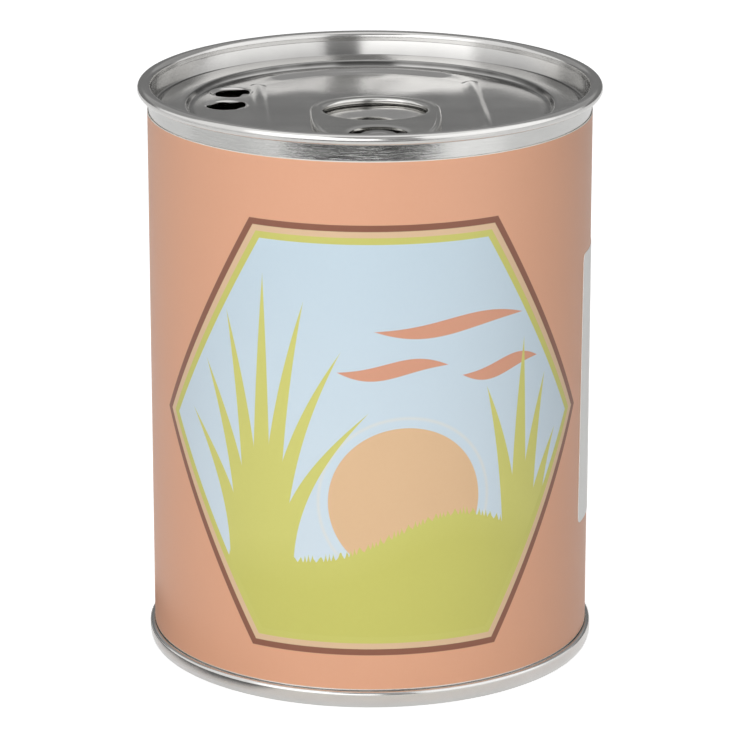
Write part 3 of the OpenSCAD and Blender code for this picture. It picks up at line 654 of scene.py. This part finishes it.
def labelMaterial():
    # Printed paper. Its map holds the distance round the can from the front and the height, in millimetres.
    # A field of colour is where a distance to its edge is positive, with a rough edge a tenth of a millimetre
    # wide: six-sided frames by the largest of three distances, hills by sums of sines, leaves and clouds by
    # parabolas along bent middle lines, and the sun by its distance from a point.
    material, tree, shader = newMaterial("printedPaper", rgb(label["paperColour"]), 0.0, 0.42)
    place = addNode(tree, "ShaderNodeUVMap", {"uv_map": "print"})
    s, z, _ = separate(tree, place)
    u, v = s - label["printS"], z - label["printZ"]
    fibre = noiseAt(tree, objectPlace(tree), 1400.0, 4.0, 0.6)
    slow = noiseAt(tree, objectPlace(tree), 40.0, 2.0)
    grit = (fibre - 0.5) * 0.16

    def inside(distance, width=0.1):
        return (distance / width + 0.5 + grit).held()

    six = abs(v) | (abs(u) * math.cos(math.pi / 6) + abs(v) * 0.5)
    frameMask = inside(label["border"] - six)
    tanMask = inside(label["border"] - label["line"] - six)
    limeMask = inside(label["border"] - label["line"] - label["line2"] - six)
    pictureMask = inside(label["border"] - label["line"] - label["line2"] - label["line3"] - six)

    degree = math.pi / 180
    broadHill = (u * (4.4 * degree) + 35 * degree).sine() * 4.5
    smallHill = (u * (10 * degree) - 50 * degree).sine() * 1.6
    groundTop = broadHill + smallHill - 19.0
    blade = 1.0 - abs((u / 0.85 + (u * 1.7).sine() * 0.35).fraction() * 2.0 - 1.0) ** 0.7
    tuft = noiseAt(tree, addNode(tree, "ShaderNodeCombineXYZ", {}, (u, 0.0, 0.0)), 0.9, 3.0, 0.7)
    green = inside(groundTop + blade * (0.5 + (tuft - 0.3).held() * 4.0) - v)
    for foot, height, lean in leaves:
        t = (v - label["leafFoot"]) / height
        reach = (1.0 - t * t) * label["leafHalf"]
        green = green | inside((reach - abs(u - foot - t * t * lean)) & ((1.0 - t) * 10.0))
    spot = addNode(tree, "ShaderNodeCombineXYZ", {}, (u, v, 0.0))
    sunAway = addNode(tree, "ShaderNodeVectorMath", {"operation": "DISTANCE"},
                      (spot, (label["sunU"], label["sunV"], 0.0)), 1)
    sun = inside(label["sunRadius"] - sunAway)
    glow = (1.0 - abs(sunAway - label["sunRadius"] - 1.6) * 2.2).held() * 0.5
    cloud = None
    for cloudU, cloudV, half in clouds:
        k = (u - cloudU) / half
        gap = (1.0 - k * k) * label["cloudHalf"] - abs(v - cloudV - (k * (150 * degree)).sine() * 0.8)
        cloud = inside(gap) if cloud is None else cloud | inside(gap)

    sky = mixColour(tree, ((v + 20.0) / 60.0 + slow * 0.2).held(), rgb("#d8e6f0"), rgb("#cadde9"))
    picture = mixColour(tree, glow, sky, rgb("#e9e6dc"))
    picture = mixColour(tree, cloud, picture, rgb(label["cloudColour"]))
    picture = mixColour(tree, sun, picture, rgb(label["sunColour"]))
    leafTone = mixColour(tree, ((groundTop - v) / 9.0 + 0.5).held(), rgb("#d5d375"), rgb("#cecc6a"))
    picture = mixColour(tree, green, picture, leafTone)
    colour = mixColour(tree, frameMask, rgb(label["paperColour"]), rgb(label["brown"]))
    colour = mixColour(tree, tanMask, colour, rgb(label["tan"]))
    colour = mixColour(tree, limeMask, colour, rgb(label["lime"]))
    colour = mixColour(tree, pictureMask, colour, picture)
    lapEnd = math.pi * labelR + label["lap"] / 2
    bare = ((z - (label["high"] - 0.16)) / 0.06).held() | ((label["low"] + 0.1 - z) / 0.06).held()
    bare = bare | ((s - (lapEnd - 0.2)) / 0.06).held()
    colour = mixColour(tree, bare, colour, rgb(label["core"]))
    tone = ((fibre - 0.5) * 0.10 + (slow - 0.5) * 0.08 + 0.5).held()
    colour = addNode(tree, "ShaderNodeMix", {"data_type": "RGBA", "blend_type": "SOFT_LIGHT"},
                     {0: 1.0, 6: colour, 7: mixColour(tree, tone, (0.3, 0.3, 0.3, 1), (0.7, 0.7, 0.7, 1))}, 2)
    feed(tree, shader, Base_Color=colour, Roughness=(0.40 + (fibre - 0.5) * 0.2 + (slow - 0.5) * 0.1).held(),
         Normal=bumpOf(tree, fibre * 0.5 + slow * 2.0, 0.012))
    return material


def labelSurface():
    # One strip of paper, wound once round the can and over its own start by the lap. A point s along it lies
    # at the angle s / r, and its radius rises by the paper's thickness in a smooth step just before the lap.
    start = -labelR * math.pi - label["lap"] / 2
    turnEnd = start + 2 * math.pi * labelR
    s = spread(start, turnEnd + label["lap"], [
        [start - 1, start + label["lap"] + 1, label["lapSpacing"]],
        [turnEnd - 3, turnEnd + label["lap"] + 1, label["rampSpacing"]]], label["spacing"])
    lift = label["paper"] * eased((s - (turnEnd - label["rampStart"])) / label["ramp"])
    edge = label["rowEdge"]
    z = np.concatenate([[label["low"]], np.linspace(label["low"] + edge, label["high"] - edge, label["rows"]),
                        [label["high"]]])
    rows = np.concatenate([z, z[::-1]])
    side = np.concatenate([np.full(len(z), label["paper"]), np.zeros(len(z))])
    angle = s / labelR - math.pi / 2
    r = label["innerRadius"] + lift[:, None] + side[None, :]
    points = np.dstack([r * np.cos(angle)[:, None], r * np.sin(angle)[:, None], rows[None, :] + 0 * r])
    flat = np.dstack([s[:, None] + 0 * r, rows[None, :] + 0 * r])
    faces = gridFaces(len(s), len(rows), False, True)
    ends = []
    for row, order in ((0, 1), (len(s) - 1, -1)):
        low = np.arange(len(z) - 1)
        cap = np.column_stack([low, low + 1, len(rows) - 2 - low, len(rows) - 1 - low]) + row * len(rows)
        ends.append(cap[:, ::order])
    return points.reshape(-1, 3), np.vstack([faces] + ends), flat.reshape(-1, 2)


labelPoints, labelFaces, labelMap = labelSurface()
makePiece("paperLabel", labelPoints, labelFaces,
          ["paper_label", "print_border", "print_inner_border", "print_sky", "print_green", "print_sun",
           "print_clouds"], labelMaterial(), mapPoints=labelMap)

# sticker
sticker = {
    "s": 45.8, "width": 38.0, "z": 45.6, "height": 46.4, "corner": 1.2, "tilt": 1.4,
    "film": 0.08, "gap": 0.02, "pale": "#fafaf8", "dark": "#f3f3f0",
}


def stickerMaterial():
    # White film on paper: matt, with the faint grain of the paper below.
    material, tree, shader = newMaterial("stickerFilm", rgb(sticker["pale"]), 0.0, 0.35)
    place = objectPlace(tree)
    fibre = noiseAt(tree, place, 900.0, 3.0)
    slow = noiseAt(tree, place, 60.0, 2.0)
    feed(tree, shader, Base_Color=mixColour(tree, slow, rgb(sticker["dark"]), rgb(sticker["pale"])),
         Roughness=0.33 + (fibre - 0.5) * 0.2, Normal=bumpOf(tree, fibre * 0.6 + slow * 2.0, 0.01))
    return material


def stickerSurface():
    # A film on the label: a flat rectangle, whose points beyond a corner's radius are pulled in to it, is
    # turned by the tilt and wrapped round the can at the angle s / r.
    a, b = np.meshgrid(np.linspace(-1, 1, 56), np.linspace(-1, 1, 60), indexing="ij")
    halfW, halfH, corner = sticker["width"] / 2, sticker["height"] / 2, sticker["corner"]
    x, y = a * halfW, b * halfH
    overX, overY = np.abs(x) - halfW + corner, np.abs(y) - halfH + corner
    over = np.hypot(np.clip(overX, 0, None), np.clip(overY, 0, None))
    pull = np.where(over > corner, corner / np.maximum(over, 1e-9), 1)
    x = np.sign(x) * np.where(over > corner, halfW - corner + overX * pull, np.abs(x))
    y = np.sign(y) * np.where(over > corner, halfH - corner + overY * pull, np.abs(y))
    t = math.radians(-sticker["tilt"])
    s = sticker["s"] + halfW + x * math.cos(t) - y * math.sin(t)
    z = sticker["z"] + x * math.sin(t) + y * math.cos(t)
    angle = s / labelR - math.pi / 2
    flat = np.column_stack([a.ravel(), b.ravel()])
    points, faces = closedSlab(flat, gridFaces(*a.shape), np.zeros(a.size), 1)
    r = labelR + sticker["gap"] + np.where(points[:, 2] == 0, sticker["film"], 0)
    angle, z = np.tile(angle.ravel(), 2), np.tile(z.ravel(), 2)
    return np.column_stack([r * np.cos(angle), r * np.sin(angle), z]), faces


stickerPoints, stickerFaces = stickerSurface()
makePiece("sideSticker", stickerPoints, stickerFaces, ["side_sticker"], stickerMaterial())
print("paper pieces made")


# the parts inside, which keep their own shapes

def mottled(name, pale, dark, roughness, scale, depth, **others):
    # A cast or set surface: two shades in coarse and fine clouds, with a relief of the depth in millimetres.
    material, tree, shader = newMaterial(name, rgb(pale), 0.0, roughness, **others)
    place = objectPlace(tree)
    coarse, fine = noiseAt(tree, place, scale, 3.0), noiseAt(tree, place, scale * 9, 2.0)
    feed(tree, shader, Base_Color=mixColour(tree, (coarse * 0.7 + fine * 0.3).held(), rgb(dark), rgb(pale)),
         Roughness=(roughness + (fine - 0.5) * 0.3).held(), Normal=bumpOf(tree, coarse + fine * 0.4, depth))
    return material


def braidMaterial():
    # Braided cotton: two sets of slanting strands cross round the wick, each a sine of turn and height.
    material, tree, shader = newMaterial("braidedCotton", rgb("#ece7da"), 0.0, 0.8)
    place = objectPlace(tree)
    x, y, z = separate(tree, place)
    turn = y.math("ARCTAN2", x)
    right, left = (turn * 4.0 + z * 3500.0).sine(), (turn * 4.0 - z * 3500.0).sine()
    strand = right | left
    # painted shade: the cotton's colour is darker in the hollows between the strands and paler on their
    # crowns
    shade = (strand * 0.5 + 0.5).held()
    feed(tree, shader, Base_Color=mixColour(tree, shade, rgb("#cfc7b4"), rgb("#f1ede2")),
         Normal=bumpOf(tree, strand, 0.08))
    return material


inner = {
    "wax_fill": mottled("castWax", "#f4eed9", "#e9e0c4", 0.42, 120, 0.05, Subsurface_Weight=0.25),
    "wick": braidMaterial(),
    "wick_sustainer": tinMaterial("footTinplate", "#b9bab8", 0.24, 900, streaks=0.3),
    "glue_dot": mottled("setGlue", "#ddd8c6", "#cfc9b4", 0.35, 200, 0.03),
    "bottom_seal": mottled("lowerSeal", "#95a08c", "#848f7b", 0.7, 400, 0.02),
    "top_seal": mottled("upperSeal", "#95a08c", "#848f7b", 0.7, 400, 0.02),
}
for nodeName, material in inner.items():
    nodes[nodeName].data.materials.clear()
    nodes[nodeName].data.materials.append(material)
print("inner materials set")


# stage

stage = {
    "floorSize": 6.0, "floorColour": (0.7, 0.7, 0.7, 1), "floorLift": 0.7, "floorMirrored": 0.36,
    "skyStrength": 0.29,
    # lamps: place, what they face and size in metres, power in watts
    "lamps": {
        "keyLight": ((-0.16, -0.97, 0.34), (0, 0, 0.05), (0.6, 0.4), 6.0),
        "topLight": ((0.05, 0.25, 1.1), (0, 0.15, 0), (0.7, 0.7), 3.8),
    },
    # cards that only mirrors show, in degrees: bearing from the front, elevation, half sizes; then the grey
    "cards": {
        "frontLeft": (-27, 30, 38, 36, 1.75), "frontRight": (64, 30, 42, 34, 1.3),
        "gapLow": (15, 12, 11, 22, 0.3), "gapHigh": (2, 52, 20, 22, 0.35),
        "backHigh": (180, 42, 60, 27, 0.35), "backLow": (180, 6, 60, 16, 0.2),
    },
    # cards flat on the floor: centre, half sizes in metres, grey, soft share
    "floorCards": {
        "floorMiddle": ((-0.035, -0.38, 0.003), (0.25, 0.16), 0.03, 0.18),
        "floorRight": ((0.32, -0.28, 0.002), (0.18, 0.18), 1.1, 0.35),
        "floorLeft": ((-0.37, -0.1, 0.001), (0.14, 0.2), 0.7, 0.35),
    },
    # a darker floor at the can's left, close to its seam
    "seamShade": {
        "bearings": (-42, -54, -66, -78, -90, -102), "radius": 0.045, "lift": 0.0005, "rise": 0.00005,
        "halfDeep": 0.0075, "halfWide": 0.014, "grey": 0.15, "soft": 0.6,
    },
}


def makeFloor():
    # A wide floor. What the camera and mirrors see of it is lifted to white, and keeps the can's shadow.
    mesh = bpy.data.meshes.new("floor")
    corners = np.array([[-1, -1, 0], [1, -1, 0], [1, 1, 0], [-1, 1, 0]]) * stage["floorSize"]
    mesh.from_pydata(corners.tolist(), [], [[0, 1, 2, 3]])
    floor = bpy.data.objects.new("floor", mesh)
    bpy.context.scene.collection.objects.link(floor)
    material, tree, shader = newMaterial("floor", stage["floorColour"], 0.0, 0.9)
    shader.inputs["Specular IOR Level"].default_value = 0.0
    path = tree.nodes.new("ShaderNodeLightPath")
    seen = Wire(tree, path.outputs["Is Camera Ray"]) | Wire(tree, path.outputs["Is Transmission Ray"])
    lift = seen * stage["floorLift"] | Wire(tree, path.outputs["Is Glossy Ray"]) * stage["floorMirrored"]
    shader.inputs["Emission Color"].default_value = (1, 1, 1, 1)
    tree.links.new(lift.socket, shader.inputs["Emission Strength"])
    mesh.materials.append(material)


def makeSky():
    # A white world for the camera and mirrors, and a weaker one for what it lights.
    world = bpy.data.worlds.new("studio")
    bpy.context.scene.world = world
    world.use_nodes = True
    tree = world.node_tree
    path = tree.nodes.new("ShaderNodeLightPath")
    seen = Wire(tree, path.outputs["Is Camera Ray"]) | Wire(tree, path.outputs["Is Glossy Ray"])
    lifted = seen | Wire(tree, path.outputs["Is Transmission Ray"])
    strength = stage["skyStrength"] + lifted * (1 - stage["skyStrength"])
    tree.nodes["Background"].inputs["Color"].default_value = (1, 1, 1, 1)
    tree.links.new(strength.socket, tree.nodes["Background"].inputs["Strength"])


def softbox(name, place, aim, size, power):
    # A lamp with a soft rectangular face, turned from its place towards its aim.
    lamp = bpy.data.lights.new(name, "AREA")
    lamp.shape = "RECTANGLE"
    lamp.size, lamp.size_y = size
    lamp.energy = power
    holder = bpy.data.objects.new(name, lamp)
    bpy.context.scene.collection.objects.link(holder)
    holder.location = place
    holder.visible_glossy = False
    away = np.array(place) - np.array(aim)
    flat = math.hypot(away[0], away[1])
    holder.rotation_euler = (math.atan2(flat, away[2]), 0, math.atan2(away[1], away[0]) + math.pi / 2)


def card(name, centre, across, up, grey, soft=0.35):
    # A glowing card that only mirrors show: centre, half its width and half its height as vectors.
    # It fades out over its outer share, as a softbox does.
    mesh = bpy.data.meshes.new(name)
    corners = np.array([[-1, -1], [1, -1], [1, 1], [-1, 1]])
    points = np.array(centre, float) + corners @ np.array([across, up], float)
    mesh.from_pydata(points.tolist(), [], [[0, 1, 2, 3]])
    plane = bpy.data.objects.new(name, mesh)
    bpy.context.scene.collection.objects.link(plane)
    plane.visible_camera = plane.visible_diffuse = plane.visible_shadow = plane.visible_transmission = False
    material = bpy.data.materials.new(name)
    material.use_nodes = True
    tree = material.node_tree
    tree.nodes.remove(tree.nodes["Principled BSDF"])
    layerMap = mesh.uv_layers.new(name="card")
    layerMap.data.foreach_set("uv", corners.astype(np.float32).ravel())
    u, v, _ = separate(tree, addNode(tree, "ShaderNodeUVMap", {"uv_map": "card"}))
    edge = ((1.0 - abs(u)) / soft).held() * ((1.0 - abs(v)) / soft).held()
    solid = edge * edge * (3.0 - edge * 2.0)
    glow = addNode(tree, "ShaderNodeEmission", {}, {"Color": (1, 1, 1, 1), "Strength": grey})
    clear = addNode(tree, "ShaderNodeBsdfTransparent")
    shown = addNode(tree, "ShaderNodeMixShader", {}, (solid, clear, glow))
    tree.links.new(shown.socket, tree.nodes["Material Output"].inputs[0])
    mesh.materials.append(material)


def cardAround(name, bearing, elevation, halfWide, halfHigh, grey):
    # A card one metre from the lid's centre, square to the line from there.
    b, e = math.radians(bearing), math.radians(elevation)
    centre = (math.sin(b) * math.cos(e), -math.cos(b) * math.cos(e), math.sin(e) + 0.093)
    wide, high = math.tan(math.radians(halfWide)), math.tan(math.radians(halfHigh))
    across = (math.cos(b) * wide, math.sin(b) * wide, 0)
    up = (-math.sin(b) * math.sin(e) * high, math.cos(b) * math.sin(e) * high, math.cos(e) * high)
    card(name, centre, across, up, grey)


makeFloor()
makeSky()
for lampName, values in stage["lamps"].items():
    softbox(lampName, *values)
for cardName, values in stage["cards"].items():
    cardAround(cardName, *values)
for cardName, (centre, (halfX, halfY), grey, soft) in stage["floorCards"].items():
    card(cardName, centre, (halfX, 0, 0), (0, halfY, 0), grey, soft)
shade = stage["seamShade"]
for step, bearing in enumerate(shade["bearings"]):
    b = math.radians(bearing)
    outwards, along = np.array([math.sin(b), -math.cos(b), 0]), np.array([math.cos(b), math.sin(b), 0])
    card("seamShade", outwards * shade["radius"] + (0, 0, shade["lift"] + step * shade["rise"]),
         outwards * shade["halfDeep"], along * shade["halfWide"], shade["grey"], shade["soft"])
print("stage set")

bpy.context.scene.view_settings.view_transform = "Standard"
